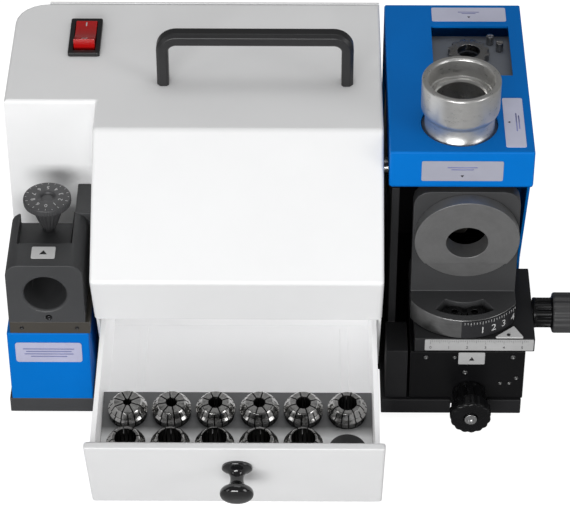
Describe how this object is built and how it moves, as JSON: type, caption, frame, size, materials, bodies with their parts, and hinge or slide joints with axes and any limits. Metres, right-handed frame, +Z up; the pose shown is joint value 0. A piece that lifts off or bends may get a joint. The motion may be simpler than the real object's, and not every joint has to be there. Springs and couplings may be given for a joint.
{
  "type": "drill bit sharpener",
  "caption": "Bench drill bit sharpener with a collet drawer, a depth setting gauge, and front and top grinding seats on a cross slide.",
  "frame": {"origin": "centre of the outer box at floor level, with the drawer drawn out", "axes": "+X to the machine's right as seen by the user at the drawer side, +Y towards the back, +Z up"},
  "size_m": [0.3124, 0.2794, 0.1995],
  "materials": {
    "base_steel": "satin",
    "rubber": "matte",
    "white_paint": "satin",
    "grey_paint": "satin",
    "screw_steel": "satin",
    "black_plastic": "matte",
    "knob_black": "gloss",
    "motor_cast": "satin",
    "bright_steel": "satin",
    "dark_paint": "satin",
    "board": "matte",
    "blue_paint": "satin",
    "grey_brown": "satin",
    "aluminium": "satin",
    "label": "satin",
    "white_mark": "satin",
    "rack_grey": "satin",
    "collet_steel": "gloss",
    "red_plastic": "gloss",
    "abrasive": "matte",
    "black_slide": "satin",
    "seat_steel": "satin"
  },
  "bodies": {
    "machine": {"base_plate": "base_steel", "rubber_feet": "rubber", "housing_cover": "white_paint", "rear_panel": "white_paint", "case_screws": "screw_steel", "motor_shelf": "grey_paint", "drawer_guides": "screw_steel", "carry_handle": "black_plastic", "handle_screws": "screw_steel", "switch_body": "black_plastic", "motor_housing": "motor_cast", "motor_end_bell": "motor_cast", "motor_bearings": "bright_steel", "motor_cradle": "dark_paint", "control_board": "board", "power_inlet": "black_plastic", "wiring_loom": "black_plastic", "wheel_frame": "dark_paint", "blue_cover": "blue_paint", "window_plate": "grey_brown", "window_fittings": "bright_steel", "top_seat": "aluminium", "slide_base": "base_steel", "gauge_box": "blue_paint", "gauge_plate": "grey_brown", "gauge_housing": "dark_paint", "label_plates": "label"},
    "drawer": {"drawer_front": "white_paint", "drawer_box": "grey_paint", "collet_rack": "rack_grey", "drawer_knob": "knob_black"},
    "collet_b1_body": {"collet_b1": "collet_steel"},
    "collet_b2_body": {"collet_b2": "collet_steel"},
    "collet_b3_body": {"collet_b3": "collet_steel"},
    "collet_b4_body": {"collet_b4": "collet_steel"},
    "collet_b5_body": {"collet_b5": "collet_steel"},
    "collet_b6_body": {"collet_b6": "collet_steel"},
    "collet_f1_body": {"collet_f1": "collet_steel"},
    "collet_f2_body": {"collet_f2": "collet_steel"},
    "collet_f3_body": {"collet_f3": "collet_steel"},
    "collet_f4_body": {"collet_f4": "collet_steel"},
    "collet_f5_body": {"collet_f5": "collet_steel"},
    "rocker": {"switch_rocker": "red_plastic"},
    "dial": {"gauge_dial": "dark_paint", "dial_shaft": "bright_steel"},
    "spindle": {"rotor_shaft": "bright_steel", "grinding_wheel": "abrasive", "wheel_nut": "bright_steel"},
    "saddle": {"y_saddle": "black_slide", "saddle_pointer": "white_mark"},
    "y_screw": {"y_leadscrew": "bright_steel", "y_knob": "knob_black"},
    "cross_slide": {"x_slide": "black_slide", "slide_markers": "white_mark", "swivel_screws": "dark_paint"},
    "x_screw": {"x_leadscrew": "bright_steel", "x_knob": "knob_black"},
    "swivel": {"swivel_block": "dark_paint", "chuck_seat": "seat_steel", "angle_scale": "black_plastic"}
  },
  "joints": [
    {"name": "drawer_slide", "type": "slide", "parent": "machine", "child": "drawer", "axis": [0, -1, 0], "range_m": [-0.099, 0]},
    {"name": "collet_b1_lift", "type": "slide", "parent": "drawer", "child": "collet_b1_body", "axis": [0, -0.1736, 0.9848], "range_m": [0, 0.045]},
    {"name": "collet_b2_lift", "type": "slide", "parent": "drawer", "child": "collet_b2_body", "axis": [0, -0.1736, 0.9848], "range_m": [0, 0.045]},
    {"name": "collet_b3_lift", "type": "slide", "parent": "drawer", "child": "collet_b3_body", "axis": [0, -0.1736, 0.9848], "range_m": [0, 0.045]},
    {"name": "collet_b4_lift", "type": "slide", "parent": "drawer", "child": "collet_b4_body", "axis": [0, -0.1736, 0.9848], "range_m": [0, 0.045]},
    {"name": "collet_b5_lift", "type": "slide", "parent": "drawer", "child": "collet_b5_body", "axis": [0, -0.1736, 0.9848], "range_m": [0, 0.045]},
    {"name": "collet_b6_lift", "type": "slide", "parent": "drawer", "child": "collet_b6_body", "axis": [0, -0.1736, 0.9848], "range_m": [0, 0.045]},
    {"name": "collet_f1_lift", "type": "slide", "parent": "drawer", "child": "collet_f1_body", "axis": [0, -0.1736, 0.9848], "range_m": [0, 0.045]},
    {"name": "collet_f2_lift", "type": "slide", "parent": "drawer", "child": "collet_f2_body", "axis": [0, -0.1736, 0.9848], "range_m": [0, 0.045]},
    {"name": "collet_f3_lift", "type": "slide", "parent": "drawer", "child": "collet_f3_body", "axis": [0, -0.1736, 0.9848], "range_m": [0, 0.045]},
    {"name": "collet_f4_lift", "type": "slide", "parent": "drawer", "child": "collet_f4_body", "axis": [0, -0.1736, 0.9848], "range_m": [0, 0.045]},
    {"name": "collet_f5_lift", "type": "slide", "parent": "drawer", "child": "collet_f5_body", "axis": [0, -0.1736, 0.9848], "range_m": [0, 0.045]},
    {"name": "rocker_tilt", "type": "hinge", "parent": "machine", "child": "rocker", "pos_m": [-0.11515, 0.1, 0.163], "axis": [1, 0, 0], "range_deg": [0, 20]},
    {"name": "dial_turn", "type": "hinge", "parent": "machine", "child": "dial", "pos_m": [-0.13225, 0.0111, 0.104], "axis": [0, 0, 1], "range_deg": [-160, 160]},
    {"name": "spindle_spin", "type": "hinge", "parent": "machine", "child": "spindle", "pos_m": [0.01375, 0.0572, 0.111], "axis": [1, 0, 0], "continuous": true},
    {"name": "y_feed", "type": "slide", "parent": "machine", "child": "saddle", "axis": [0, 1, 0], "range_m": [-0.006, 0.006]},
    {"name": "y_screw_turn", "type": "hinge", "parent": "saddle", "child": "y_screw", "pos_m": [0.09825, -0.0228, 0.018], "axis": [0, 1, 0], "range_deg": [-2701, 2701]},
    {"name": "x_feed", "type": "slide", "parent": "saddle", "child": "cross_slide", "axis": [1, 0, 0], "range_m": [-0.004, 0.004]},
    {"name": "x_screw_turn", "type": "hinge", "parent": "cross_slide", "child": "x_screw", "pos_m": [0.12875, -0.0003, 0.0534], "axis": [1, 0, 0], "range_deg": [-1801, 1801]},
    {"name": "swivel_turn", "type": "hinge", "parent": "cross_slide", "child": "swivel", "pos_m": [0.09425, 0.0062, 0.062], "axis": [0, 0, 1], "range_deg": [-9, 9]}
  ],
  "couplings": [
    {"joint": "y_screw_turn", "follows": "y_feed", "rad_per_m": 7854},
    {"joint": "x_screw_turn", "follows": "x_feed", "rad_per_m": 7854}
  ]
}
